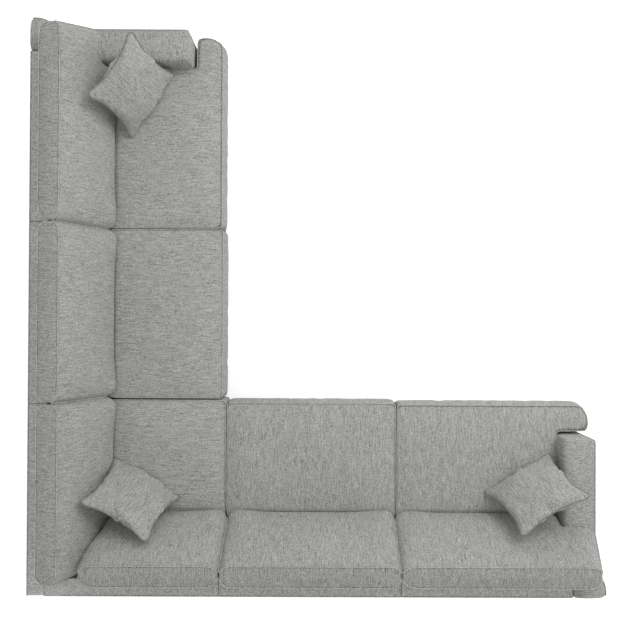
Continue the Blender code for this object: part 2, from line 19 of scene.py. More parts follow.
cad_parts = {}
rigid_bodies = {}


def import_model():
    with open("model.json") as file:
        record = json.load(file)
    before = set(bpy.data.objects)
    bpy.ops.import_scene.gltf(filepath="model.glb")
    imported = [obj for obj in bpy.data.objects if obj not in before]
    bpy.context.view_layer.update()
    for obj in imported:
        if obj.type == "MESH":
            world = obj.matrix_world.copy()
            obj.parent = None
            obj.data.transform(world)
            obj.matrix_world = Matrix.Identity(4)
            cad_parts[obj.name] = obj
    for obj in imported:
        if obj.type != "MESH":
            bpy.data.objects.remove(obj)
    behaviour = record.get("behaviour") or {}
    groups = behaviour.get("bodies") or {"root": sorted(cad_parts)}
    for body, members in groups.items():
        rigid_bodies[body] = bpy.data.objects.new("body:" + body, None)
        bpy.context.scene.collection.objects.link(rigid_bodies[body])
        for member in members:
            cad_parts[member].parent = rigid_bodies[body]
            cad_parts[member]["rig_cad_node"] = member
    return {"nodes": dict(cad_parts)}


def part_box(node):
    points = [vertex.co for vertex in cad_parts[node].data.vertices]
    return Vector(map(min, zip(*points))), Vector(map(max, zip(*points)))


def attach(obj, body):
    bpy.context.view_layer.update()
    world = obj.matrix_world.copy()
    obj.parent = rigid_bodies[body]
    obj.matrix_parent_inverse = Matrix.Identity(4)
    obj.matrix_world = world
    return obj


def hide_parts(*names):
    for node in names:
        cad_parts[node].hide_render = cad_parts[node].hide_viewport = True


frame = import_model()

for left_over in [o for o in bpy.data.objects if not o.name.startswith("body:") and "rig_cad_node" not in o]:
    bpy.data.objects.remove(left_over)


def add_object(name, data):
    obj = bpy.data.objects.new(name, data)
    bpy.context.scene.collection.objects.link(obj)
    return obj


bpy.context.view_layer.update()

# %% [markdown]
# ## The camera
# The picture looks straight down from above the middle of the sofa, so the floor plan shows with
# very little lean. A camera was fitted to the seams between the modules: it hangs 4.33 m up, 8 cm
# from the middle towards the rear of the right leg, and is tipped by less than half a degree. Its
# focal length is known in pixels of a picture 620 wide, and the lens in millimetres follows from it.

# %% Place the camera
PICTURE_WIDTH_PX = 620
PICTURE_HEIGHT_PX = 618
FOCAL_PX = 726.75
AXIS_PX = (321.4, 315.34)
SENSOR = 36.0
CAMERA_PLACE = (0.0033, -0.0765, 4.3275)
CAMERA_TURN = (0.00804, -0.00212, 0.00449)

camera_data = bpy.data.cameras.new("overhead_camera")
camera = add_object("overhead_camera", camera_data)
bpy.context.scene.camera = camera
camera.location = CAMERA_PLACE
camera.rotation_euler = CAMERA_TURN
camera_data.sensor_width = SENSOR
camera_data.lens = SENSOR * FOCAL_PX / PICTURE_WIDTH_PX
camera_data.shift_x = (PICTURE_WIDTH_PX / 2 - AXIS_PX[0]) / PICTURE_WIDTH_PX
camera_data.shift_y = (AXIS_PX[1] - PICTURE_HEIGHT_PX / 2) / PICTURE_WIDTH_PX
print("lens", round(camera_data.lens, 2), "mm, hung at", CAMERA_PLACE[2], "m")

# %% [markdown]
# ## Two runs that meet in a corner
# The L has two legs. On each, "along" counts from the outer corner and "out" counts from the back
# of the sofa towards the sitter. A small class turns these into places in the room, so that one
# recipe makes the cushions of both legs. The left leg is the right leg mirrored over the corner.

# %% Runs
class Run:
    """One leg of the sofa: turns along, out and height into a place."""

    def __init__(self, name, along, out, corner):
        self.name = name
        self.axes = Matrix((along, out, (0, 0, 1))).transposed()
        self.corner = Vector(corner)

    def place(self, along, out, height):
        return self.corner + self.axes @ Vector((along, out, height))

    def box(self, node):
        """The lowest and highest along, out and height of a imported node."""
        ends = [self.axes.transposed() @ (corner - self.corner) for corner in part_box(node)]
        return [min(pair) for pair in zip(*ends)], [max(pair) for pair in zip(*ends)]


corner = (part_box("corner_left_back_frame")[0].x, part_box("corner_rear_back_frame")[0].y, 0)
RIGHT = Run("right", (1, 0, 0), (0, 1, 0), corner)
LEFT = Run("left", (0, 1, 0), (1, 0, 0), corner)
for run in (RIGHT, LEFT):
    print(run.name, "leg is", round(run.box("armed_%s_arm" % run.name)[1][0], 3), "m along")

# %% [markdown]
# ## Writing shader maths as Python
# A procedural cloth is a dozen sums on a few noise patterns. Wired by hand that is hard to read,
# so a small class wraps a socket and turns Python's operators into Math nodes. A Paint holds one
# material and makes every other kind of node through one method.

# %% Sockets and paints
class Value:
    """A number that varies over a surface: arithmetic on it adds Math nodes."""

    def __init__(self, paint, socket):
        self.paint = paint
        self.socket = socket

    def math(self, operation, *others):
        sockets = dict(enumerate([self, *others]))
        return self.paint.node("ShaderNodeMath", {"operation": operation}, sockets)

    def __add__(self, other):
        return self.math("ADD", other)

    def __sub__(self, other):
        return self.math("SUBTRACT", other)

    def __rsub__(self, other):
        return Value.math(self * -1, "ADD", other)

    def __mul__(self, other):
        return self.math("MULTIPLY", other)

    __radd__ = __add__
    __rmul__ = __mul__

    def wave(self):
        return self.math("SINE")

    def size(self):
        return self.math("ABSOLUTE")

    def step(self, low, high):
        """0 below low, 1 above high and smooth between them."""
        settings = {"interpolation_type": "SMOOTHSTEP"}
        sockets = {"Value": self, "From Min": low, "From Max": high}
        return self.paint.node("ShaderNodeMapRange", settings, sockets)


class Nodes:
    """A node tree, and one way to make any node in it."""

    def __init__(self, tree):
        self.tree = tree

    def node(self, kind, settings=None, sockets=None, out=0):
        made = self.tree.nodes.new(kind)
        settings = dict(settings or {})
        stops = settings.pop("stops", [])
        for name, value in settings.items():
            setattr(made, name, value)
        for number, (share, colour) in enumerate(stops):
            ramp = made.color_ramp.elements
            element = ramp[number] if number < len(ramp) else ramp.new(share)
            element.position = share
            element.color = (*colour, 1)
        for name, value in (sockets or {}).items():
            self.feed(made.inputs[name], value)
        return Value(self, made.outputs[out])

    def feed(self, socket, value):
        if isinstance(value, Value):
            self.tree.links.new(socket, value.socket)
        else:
            socket.default_value = value

    def seen_directly(self):
        """1 for what the camera sees, also in a reflection or through glass, and 0 for other light."""
        kinds = ("Is Camera Ray", "Is Glossy Ray", "Is Transmission Ray")
        camera, glossy, through = [self.node("ShaderNodeLightPath", out=kind) for kind in kinds]
        return camera.math("MAXIMUM", glossy).math("MAXIMUM", through)


class Paint(Nodes):
    """A material with a Principled shader."""

    def __init__(self, name, **constants):
        self.material = bpy.data.materials.new(name)
        self.material.use_nodes = True
        super().__init__(self.material.node_tree)
        self.shader = self.tree.nodes["Principled BSDF"]
        for socket, value in constants.items():
            self.shader.inputs[socket.replace("_", " ")].default_value = value

    def wear(self, **sockets):
        """Link what varies over the surface to the shader."""
        for name, value in sockets.items():
            self.feed(self.shader.inputs[name.replace("_", " ")], value)

    def coordinates(self, out="Object"):
        place = self.node("ShaderNodeTexCoord", out=out)
        return place, [self.node("ShaderNodeSeparateXYZ", None, {0: place}, out=i) for i in range(3)]

    def stretched_noise(self, place, sizes, detail=2.0, seed=0.0):
        """Noise whose blobs have the given size along each axis."""
        scale = [1 / size for size in sizes]
        settings = {"operation": "MULTIPLY_ADD"}
        stretched = self.node("ShaderNodeVectorMath", settings, {0: place, 1: scale, 2: (seed,) * 3})
        return self.node("ShaderNodeTexNoise", None, {"Vector": stretched, "Scale": 1.0, "Detail": detail})

    def between(self, dark, light, share):
        return self.node("ShaderNodeValToRGB", {"stops": [(0.0, dark), (1.0, light)]}, {"Fac": share})

    def bump(self, height, strength, distance):
        sockets = {"Height": height, "Strength": strength, "Distance": distance}
        return self.node("ShaderNodeBump", None, sockets)


# %% [markdown]
# ## The heathered cloth
# The cover is a plain weave of slubby yarn: light and dark threads run from the front of the seat
# up over the back, so they look like fine strokes that all point out of the sofa. Stretched noise
# gives the strokes in three sizes, each a width across the yarn and a length with it: nubs that
# are almost round, pairs of threads, and long slubs. The faces that look along the run would show
# the noise end on, so there another axis is the thin one. The strokes tint the colour, vary the
# gloss a little and raise the surface. Close to a seam the surface is bumped in and the colour is
# darkened with painted shade. Some pieces take a lighter or darker copy of the cloth as painted
# light: paler on the back frames, whose tops the back cushions shade, and on the piping as a painted
# highlight; darker on the boxing strips and on the pillows' piping as painted shade.

# %% Cloth
SEAM_SHADE = "seam_shade"
YARN_DARK = (0.0, 0.0, 0.0)
YARN_LIGHT = (0.725, 0.728, 0.700)
NUB = (0.0045, 0.0060)
PAIR = (0.0020, 0.0100)
SLUB = (0.0022, 0.045)
NUB_SHARE = 0.38
PAIR_SHARE = 0.28
SLUB_SHARE = 0.34
PATCH = 0.30
PATCH_DEPTH = 0.06
CONTRAST = 1.95
THREAD_PITCH = 0.0016
WEAVE_DEPTH = 0.012
WEAVE_RELIEF = 0.12
SIDE_BAND = (0.62, 0.82)
SEAM_BAND = (0.78, 0.94)
# painted shade: how much darker the colour is painted in a band along each seam
SEAM_PAINTED_SHADE = 0.22
SEAM_DIP = 0.8
BUMP_STRENGTH = 0.45
BUMP_DEPTH = 0.0016
DULLNESS = 0.96
YARN_GLOSS = 0.1
# painted highlight: the piping's cloth is paler, as if its cord caught the light
PIPING_PAINTED_HIGHLIGHT = 1.16
# painted shade: the pillows' piping is darker, standing in for the shadow under their bulging edges
PILLOW_PIPING_PAINTED_SHADE = 0.62
# painted shade: the back cushions' boxing strips take a darker copy of the cloth
BOXING_PAINTED_SHADE = 0.87
# painted light: the back frames' cloth is paler, standing in for light that the back cushions keep off their
# tops
FRAME_PAINTED_LIGHT = 1.36


def strokes(paint, place, thin):
    """Yarn in three sizes: thin is the axis across the strokes."""
    layers = []
    for seed, (width, length) in enumerate((NUB, PAIR, SLUB)):
        sizes = [width if axis == thin else length for axis in range(3)]
        layers.append(paint.stretched_noise(place, sizes, detail=1.0, seed=7.3 * seed))
    nubs, pairs, slubs = layers
    return nubs * NUB_SHARE + pairs * PAIR_SHARE + slubs * SLUB_SHARE


def make_cloth(name, thin, side_thin, shade=1.0, sewn=True):
    paint = Paint(name, Sheen_Weight=0.12, Sheen_Roughness=0.5, Specular_IOR_Level=0.2)
    place, axes = paint.coordinates()
    facing = paint.coordinates("Normal")[1][thin].size()
    is_side = facing.step(*SIDE_BAND)
    mixed = strokes(paint, place, thin) * (1 - is_side) + strokes(paint, place, side_thin) * is_side
    patches = paint.stretched_noise(place, (PATCH, PATCH, PATCH), detail=2.0, seed=3.1)
    turns = 2 * math.pi / THREAD_PITCH
    weave = (axes[0] * turns).wave() * (axes[1] * turns).wave() + (axes[2] * turns).wave()
    # shade scales the colour of a copy of the cloth: above 1 it is painted light, below 1 painted shade
    tone = ((mixed - 0.5) * CONTRAST + 0.5) * shade + (patches - 0.5) * PATCH_DEPTH + weave * WEAVE_DEPTH
    raised = mixed + weave * WEAVE_RELIEF
    if sewn:
        # Painted shade along each seam: the colour darkens in a band there, and the bump dips in
        by_seam = paint.node("ShaderNodeAttribute", {"attribute_name": SEAM_SHADE}, out=2).step(*SEAM_BAND)
        tone = tone - by_seam * SEAM_PAINTED_SHADE
        raised = raised - by_seam * SEAM_DIP
    colour = paint.between(YARN_DARK, YARN_LIGHT, tone)
    paint.wear(
        Base_Color=colour, Roughness=DULLNESS - mixed * YARN_GLOSS,
        Normal=paint.bump(raised, BUMP_STRENGTH, BUMP_DEPTH))
    return paint.material


def cloth_pair(name, shade=1.0):
    """The same cloth for each leg, with its strokes pointing out of the sofa."""
    right = make_cloth("heathered_%s_right" % name, thin=0, side_thin=1, shade=shade)
    left = make_cloth("heathered_%s_left" % name, thin=1, side_thin=0, shade=shade)
    return {"right": right, "left": left}


cloth_of = cloth_pair("cloth")
# a darker copy for the boxing strips, painted shade
boxing_painted_shade_of = cloth_pair("boxing", BOXING_PAINTED_SHADE)
# a paler copy for the back frames, painted light
frame_painted_light_cloth_of = cloth_pair("frame", FRAME_PAINTED_LIGHT)
arm_cloth_of = {"right": cloth_of["left"], "left": cloth_of["right"]}
# the piping is paler, a painted highlight
piping_cloth = make_cloth("heathered_piping", thin=0, side_thin=1, shade=PIPING_PAINTED_HIGHLIGHT, sewn=False)
print("made", cloth_of["right"].name, "and its relatives, lightest yarn", YARN_LIGHT[0])

# %% [markdown]
# ## Small hardware
# The feet are black moulded plastic, the modules hook together with zinc-plated steel claws and
# tongues, and dark elastic webbing carries the seat cushions. They hardly show, but each has its
# own finish: a fine moulded grain, spangled zinc with duller patches, and a ribbed weave. The rail
# boxes wear the cloth of their leg.

# %% Hardware finishes
PLASTIC_GRAIN = 0.0012
ZINC_SPANGLE = 0.012
WEBBING_RIB = 0.004


def make_plastic():
    paint = Paint("moulded_plastic_black", Specular_IOR_Level=0.45)
    place = paint.coordinates()[0]
    grain = paint.stretched_noise(place, (PLASTIC_GRAIN,) * 3)
    scuffs = paint.stretched_noise(place, (0.03, 0.03, 0.006), seed=5.0).step(0.55, 0.75)
    colour = paint.between((0.012, 0.012, 0.013), (0.045, 0.045, 0.045), grain * 0.5 + scuffs * 0.4)
    paint.wear(Base_Color=colour, Roughness=0.42 + scuffs * 0.25, Normal=paint.bump(grain, 0.3, 0.0003))
    return paint.material


def make_zinc():
    paint = Paint("zinc_plated_steel", Metallic=1.0)
    place = paint.coordinates()[0]
    spangle = paint.node("ShaderNodeTexVoronoi", None, {"Vector": place, "Scale": 1 / ZINC_SPANGLE})
    rubbed = paint.stretched_noise(place, (0.02, 0.02, 0.02), seed=2.0)
    colour = paint.between((0.36, 0.37, 0.38), (0.62, 0.63, 0.64), spangle * 0.6 + rubbed * 0.4)
    paint.wear(Base_Color=colour, Roughness=0.28 + rubbed * 0.25, Normal=paint.bump(rubbed, 0.2, 0.0004))
    return paint.material


def make_webbing():
    paint = Paint("elastic_webbing", Sheen_Weight=0.1, Specular_IOR_Level=0.3)
    place, axes = paint.coordinates()
    turns = 2 * math.pi / WEBBING_RIB
    ribs = (axes[0] * turns).wave() * (axes[1] * turns).wave() * 0.5 + 0.5
    fuzz = paint.stretched_noise(place, (0.002, 0.002, 0.002))
    colour = paint.between((0.015, 0.014, 0.013), (0.075, 0.070, 0.065), ribs * 0.6 + fuzz * 0.4)
    paint.wear(Base_Color=colour, Roughness=0.95 - fuzz * 0.2, Normal=paint.bump(ribs, 0.6, 0.0008))
    return paint.material


plastic = make_plastic()
zinc = make_zinc()
webbing = make_webbing()
hardware = {"foot": plastic, "connector": zinc, "webbing": webbing}
for node, obj in frame["nodes"].items():
    material = cloth_of["left" if "left" in node else "right"]
    for part, finish in hardware.items():
        if part in node:
            material = finish
    obj.data.materials.clear()
    obj.data.materials.append(material)
print("finished", len(frame["nodes"]), "packed nodes")

# %% [markdown]
# ## A soft form from a cage
# Each cushion starts as a cage of boxes: three lists of lines, and a rule that says which cells are
# filled, so a T-shaped seat is as easy as a square one. A second rule then bends the cage into a
# cushion. The edges where a panel meets its boxing strip are creased, because a seam is sewn there,
# and everything else is rounded by subdivision. The seam's vertices also go into a vertex group.

# %% Cage helpers
SEAM_GROUP = "seam"
CAGE_LEVELS = 2
ON_FACE = 0.001
FACES = [(axis, side) for axis in range(3) for side in (0, 1)]


def spread(low, high, edge, step, extra=()):
    """Lines across a cushion: one close to each end, even ones between, and any extra ones."""
    count = max(1, round((high - low - 2 * edge) / step))
    inner = [low + edge + (high - low - 2 * edge) * i / count for i in range(count + 1)]
    free = [line for line in inner if all(abs(line - stop) > step / 3 for stop in extra)]
    return sorted({low, high, *free, *extra})


def lattice(lines, filled, panel_axis):
    """The outer faces of the filled cells. Seam edges lie between a panel and its boxing."""
    bm = bmesh.new()
    crease = bm.edges.layers.float.new("crease_edge")
    weight = bm.verts.layers.deform.verify()
    counts = [len(axis) - 1 for axis in lines]
    solid = {cell for cell in itertools.product(*map(range, counts)) if filled(cell)}
    verts = {}
    face_axis = {}
    for cell in sorted(solid):
        for axis, side in FACES:
            beyond = tuple(c + (2 * side - 1) * (i == axis) for i, c in enumerate(cell))
            if beyond in solid:
                continue
            first, second = [i for i in range(3) if i != axis]
            knots = []
            for da, db in ((0, 0), (1, 0), (1, 1), (0, 1)):
                knot = list(cell)
                knot[axis] += side
                knot[first] += da
                knot[second] += db
                knots.append(tuple(knot))
            for knot in knots:
                if knot not in verts:
                    verts[knot] = bm.verts.new([lines[i][knot[i]] for i in range(3)])
            face = bm.faces.new([verts[knot] for knot in knots])
            face.material_index = int(axis != panel_axis)
            face_axis[face] = axis
    for edge in bm.edges:
        kinds = {face_axis[face] == panel_axis for face in edge.link_faces}
        if len(kinds) == 2:
            edge[crease] = 1
            for vert in edge.verts:
                vert[weight][0] = 1.0
    return bm


def new_piece(bm, name, materials):
    """Face a shaped cage outwards and make it an object with a seam group."""
    bmesh.ops.recalc_face_normals(bm, faces=bm.faces)
    if bm.calc_volume(signed=True) < 0:
        bmesh.ops.reverse_faces(bm, faces=bm.faces)
    mesh = bpy.data.meshes.new(name)
    bm.to_mesh(mesh)
    bm.free()
    mesh.shade_smooth()
    for material in materials:
        mesh.materials.append(material)
    obj = add_object(name, mesh)
    obj.vertex_groups.new(name=SEAM_GROUP)
    return obj


def finish_form(bm, name, run, material, boxing=None):
    """Put a shaped cage in its place on the run and round it."""
    for vert in bm.verts:
        vert.co = run.place(*vert.co)
    obj = new_piece(bm, name, (material, boxing or material))
    subdivide(obj, CAGE_LEVELS)
    return obj


def apply_modifiers(obj):
    """Turn what the modifiers show into the piece's own mesh."""
    graph = bpy.context.evaluated_depsgraph_get()
    shown = bpy.data.meshes.new_from_object(obj.evaluated_get(graph), depsgraph=graph)
    obj.modifiers.clear()
    old = obj.data
    obj.data = shown
    bpy.data.meshes.remove(old)
    obj.data.name = obj.name


def subdivide(obj, levels):
    rounding = obj.modifiers.new("rounding", "SUBSURF")
    rounding.levels = levels
    rounding.render_levels = levels
    apply_modifiers(obj)


def points_of(obj):
    flat = np.empty(len(obj.data.vertices) * 3, np.float32)
    obj.data.vertices.foreach_get("co", flat)
    return flat.reshape(-1, 3).astype(float)


def move_points(obj, points):
    obj.data.vertices.foreach_set("co", points.astype(np.float32).ravel())
    obj.data.update()


def seam_weights(obj):
    weights = np.zeros(len(obj.data.vertices))
    for vert in obj.data.vertices:
        for group in vert.groups:
            weights[vert.index] = group.weight
    return weights


# %% [markdown]
# ## Hills and edges
# Three small curves shape every cushion. A hill is 0 at both edges and 1 in the middle and rises
# steeply, like cloth over a full filling. A ramp is a smooth step. A corner is how far a rounded
# edge has drawn in at some distance from the end. A blend lies a share of the way between two.

# %% Curves
def hill(share, steepness=0.5):
    inside = min(max(share, 0), 1)
    return math.sin(math.pi * inside) ** steepness


def ramp(value, low, high):
    share = min(max((value - low) / (high - low), 0), 1)
    return share * share * (3 - 2 * share)


def corner_inset(distance, radius):
    left = min(max(radius - distance, 0), radius)
    return radius - math.sqrt(radius ** 2 - left ** 2)


def blend(start, end, share):
    return start + (end - start) * share


# %% [markdown]
# ## Seat cushions
# A seat is a foam block with a fibre wrap: its top swells between the seams, its front bulges over
# the base, and it stays flat at the back, where the back cushion stands on it. The seats at the two
# ends are T-shaped and wrap round the front of the arm. Their outer front corner has a wide curve.
# An armless seat steps in behind on its near side, where a neighbour's back cushion overhangs it.

# %% Seats
REST_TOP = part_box("armless_right_back_cushion")[0].z - 0.0003
SEAT_EDGE = 0.026
WING_PROUD = 0.008
WING_EDGE = 0.090
WING_END = 0.030
WING_CORNER = 0.024
WING_FRONT_EDGE = 0.050
CAGE_STEP = 0.060
SEAT_CROWN = 0.017
SEAT_FLAT_END = 0.360
SEAT_FRONT_SWELL = 0.016
SEAT_SIDE_BULGE = 0.004
SEAM_DROP = 0.004
RELIEF = 0.0145
RELIEF_ENDS = (0.316, 0.334)
FRONT_SETBACK = 0.004
HEIGHT_EDGE = 0.030
ARM_GAP = 0.0010
NOTCH_GAP = 0.018


def seat_heights(low, high):
    return [low, low + HEIGHT_EDGE, (low + high) / 2, high - HEIGHT_EDGE, high]


def make_seat(node, run, corner_seat=False, armed=False, relief=False):
    low, high = run.box(node)
    low_along, high_along = low[0], high[0]
    front = high[1] - FRONT_SETBACK - (0 if corner_seat else SEAT_FRONT_SWELL)
    bottom = low[2]
    top = REST_TOP - SEAM_DROP
    along = spread(low_along, high_along, SEAT_EDGE, CAGE_STEP)
    out = spread(low[1], front, SEAT_EDGE, CAGE_STEP, extra=RELIEF_ENDS if relief else ())
    heights = seat_heights(bottom, top)
    filled = lambda cell: True
    if armed:
        arm_low, arm_high = run.box(node.replace("seat_cushion", "arm"))
        side = arm_low[0] - ARM_GAP
        high_along = arm_high[0] + WING_PROUD
        notch = arm_high[1] + NOTCH_GAP
        wing = [high_along - WING_EDGE, high_along - WING_END, high_along]
        along = spread(low_along, side, SEAT_EDGE, CAGE_STEP) + wing
        out = spread(low[1], notch, SEAT_EDGE, CAGE_STEP) + [front - WING_FRONT_EDGE, front]
        side_cell = along.index(side)
        notch_cell = out.index(notch)
        filled = lambda cell: cell[0] < side_cell or cell[1] >= notch_cell
    bm = lattice([along, out, heights], filled, panel_axis=2)
    for vert in bm.verts:
        a, o, z = vert.co
        share_a = (a - low_along) / (high_along - low_along)
        share_o = (o - low[1]) / (front - low[1])
        swell_a = share_a
        if corner_seat:
            swell_a = (a - SEAT_FLAT_END) / (high_along - SEAT_FLAT_END)
        swell_o = (o - SEAT_FLAT_END) / (front - SEAT_FLAT_END)
        rise = (z - bottom) / (top - bottom)
        if z > top - ON_FACE:
            z = z + (SEAT_CROWN + SEAM_DROP) * hill(swell_a) * hill(swell_o)
            z = z + SEAM_DROP * (1 - hill(swell_a) * hill(swell_o)) * hill(share_a, 0.2) * hill(share_o, 0.2)
        if abs(o - front) < ON_FACE and not corner_seat:
            o = o + SEAT_FRONT_SWELL * hill(rise, 0.8)
        bulge = SEAT_SIDE_BULGE * hill(share_o) * hill(rise)
        if abs(a - low_along) < ON_FACE:
            a = a - bulge + (RELIEF * (1 - ramp(o, *RELIEF_ENDS)) if relief else 0)
        if abs(a - high_along) < ON_FACE:
            a = a + bulge
        if armed and a > high_along - ON_FACE and abs(vert.co.y - front) < ON_FACE:
            a, o = a - WING_CORNER, o - WING_CORNER
        if corner_seat and abs(o - front) < ON_FACE:
            o = o + SEAT_SIDE_BULGE * hill(share_a) * hill(rise)
        vert.co = (a, o, z)
    return finish_form(bm, node + "_cover", run, cloth_of["left"] if corner_seat else cloth_of[run.name])


seats = {}
for name, run, options in (
    ("corner", RIGHT, {"corner_seat": True}),
    ("armless_right", RIGHT, {"relief": True}), ("armless_left", LEFT, {"relief": True}),
    ("armed_right", RIGHT, {"armed": True}), ("armed_left", LEFT, {"armed": True}),
):
    seats[name] = make_seat(name + "_seat_cushion", run, **options)
    print(seats[name].name, len(seats[name].data.vertices), "points")

# %% [markdown]
# ## Back cushions
# A back cushion stands on the seat and leans on the back frame. It is thick at the foot and thin at
# the head: its front panel slopes, and a boxing strip between two seams closes the top. The corners
# draw in where two seams meet. On the arm modules it has a wing that lies over the arm. In the
# corner the long cushion's slope pushes the near end of the short one along.

# %% Backs
BACK_EDGE = 0.018
BACK_END_LINE = 0.046
FACE_RISES = (0, 0.08, 0.25, 1)
FACE_OUTS = (0.337, 0.369, 0.326, 0.186)
FACE_CROWN = 0.004
REAR_SEAM_TOP = 0.853
FRONT_SEAM_TOP = 0.861
TOP_CROWN = 0.010
REAR_CORNER = 0.045
FOOT_CORNER = 0.044
HEAD_CORNER = 0.036
FOOT_EARS = 0.010
FOOT_EAR_ENDS = (0.050, 0.240)
SHORT_RISES = (0, 0.4, 0.6, 0.8, 1)
SHORT_LEANS = (0.0745, 0.0360, 0.0090, 0.0005, 0.0065)
WING_TAPER = 0.060
ARM_SIDE_CORNER = 0.035
REACH = {
    "corner_left": (0, 0.001), "corner_rear": (0.0288, 0.001),
    "armless": (0.006, 0.0055), "armed": (0.0245, 0.018),
}
ARM_TOP = 0.600
POST_TOP = 0.740
SHOULDER = (0.045, 0.125)
WING_LIFT = 0.008
UNDER_WING_EDGE = 0.035
CAGE_POST_GAP = 0.006


def back_ends(node, run):
    """Where a back cushion ends along its run: it is stuffed up to its neighbour."""
    low, high = run.box(node)
    near, far = next(reach for name, reach in REACH.items() if node.startswith(name))
    return low[0] - near, high[0] + far


def short_end(rise):
    """How far the short corner cushion's end is pushed along by the slope of the long one."""
    return np.interp(rise, SHORT_RISES, SHORT_LEANS)


def make_back(node, run, short=False, armed=False):
    low_along, high_along = back_ends(node, run)
    low_along = low_along + (SHORT_LEANS[0] if short else 0)
    rear = run.box(node)[0][1]
    bottom = run.box(node)[0][2]
    step = CAGE_STEP
    end_lines = (low_along + BACK_END_LINE, high_along - BACK_END_LINE)
    along = spread(low_along, high_along, BACK_EDGE, step, extra=end_lines)
    heights = spread(bottom, FRONT_SEAM_TOP, HEIGHT_EDGE, step)
    filled = lambda cell: True
    side = None
    if armed:
        arm_low, arm_high = run.box(node.replace("back_cushion", "arm"))
        side = arm_low[0] - ARM_GAP
        over = ARM_TOP + WING_LIFT
        along = spread(low_along, side, BACK_EDGE, step) + spread(side, high_along, BACK_EDGE, step)[1:]
        heights = spread(bottom, over, UNDER_WING_EDGE, step)
        heights = heights + spread(over, FRONT_SEAM_TOP, HEIGHT_EDGE, step)[1:]
        side_cell = along.index(side)
        over_cell = heights.index(over)
        filled = lambda cell: cell[0] < side_cell or cell[2] >= over_cell
    depths = [0, 0.25, 0.5, 0.75, 1]
    bm = lattice([along, depths, heights], filled, panel_axis=1)
    for vert in bm.verts:
        a, depth, z = vert.co
        share_a = (a - low_along) / (high_along - low_along)
        rise = (z - bottom) / (FRONT_SEAM_TOP - bottom)
        from_end = min(a - low_along, high_along - a)
        back = rear + corner_inset(from_end, REAR_CORNER)
        front_corner = blend(FOOT_CORNER, HEAD_CORNER, rise)
        ears = FOOT_EARS * (1 - ramp(from_end, *FOOT_EAR_ENDS)) * (1 - rise)
        face = float(np.interp(rise, FACE_RISES, FACE_OUTS)) + ears - corner_inset(from_end, front_corner)
        if side is not None and a < side + ON_FACE and z < ARM_TOP:
            drawn_in = corner_inset(side - a, ARM_SIDE_CORNER)
            face = face - drawn_in
            back = back + drawn_in
        if side is not None and a > side - ON_FACE:
            back = max(back, shoulder_out(z) + CAGE_POST_GAP)
            reach = (a - side) / (high_along - side)
            a = a - WING_TAPER * reach * (z - ARM_TOP) / (FRONT_SEAM_TOP - ARM_TOP)
        if depth > 0.99:
            face = face + FACE_CROWN * hill(share_a) * hill(rise, 0.6)
        if z > FRONT_SEAM_TOP - ON_FACE:
            z = blend(REAR_SEAM_TOP, FRONT_SEAM_TOP, depth) + TOP_CROWN * hill(depth) * hill(share_a)
        if short:
            a = a - (SHORT_LEANS[0] - float(short_end(rise))) * (1 - share_a)
        vert.co = (a, blend(back, face, depth), z)
    # the boxing strip wears the darker cloth, painted shade
    return finish_form(bm, node + "_cover", run, cloth_of[run.name], boxing_painted_shade_of[run.name])


def shoulder_out(height):
    """Where the top of the arm's post lies at a height, from the cosine that shapes it."""
    share = min(max((height - ARM_TOP) / (POST_TOP - ARM_TOP), 0), 1)
    if share >= 1:
        return 0.0
    return blend(SHOULDER[0], SHOULDER[1], math.acos(2 * share - 1) / math.pi)


backs = {}
for node, run, options in (
    ("corner_left_back_cushion", LEFT, {}),
    ("corner_rear_back_cushion", RIGHT, {"short": True}),
    ("armless_right_back_cushion", RIGHT, {}), ("armless_left_back_cushion", LEFT, {}),
    ("armed_right_back_cushion", RIGHT, {"armed": True}), ("armed_left_back_cushion", LEFT, {"armed": True}),
):
    backs[node] = make_back(node, run, **options)
    print(backs[node].name, len(backs[node].data.vertices), "points")

# %% [markdown]
# ## Padded panels on the frames
# The arms and back frames are wooden boxes under foam and cloth. Foam rounds every edge and lets
# the flat panels rise a little. A piped seam runs round the outer panel only: the arm's inner top
# edge is rolled without a seam, and the frames have no piping where cushions slide past. An arm has
# a post at its back that rises to the back frame with a soft shoulder, and a rounded front corner.

# %% Arms and back frames
ARM_EDGE = 0.012
ARM_INNER_ROUND = 0.055
ARM_FRONT_ROUND = 0.014
POST_ROUND = 0.022
ARM_STEP = 0.045
ARM_RISES = (0, 0.02, 0.2, 0.4, 0.6, 0.8, 0.9, 1)
SHOULDER_STEPS = 5
FOREARM_START = 0.16
FOREARM_EDGE = 0.020
PANEL_RISE = 0.004
FRAME_EDGE = 0.010
FRAME_STEP = 0.110


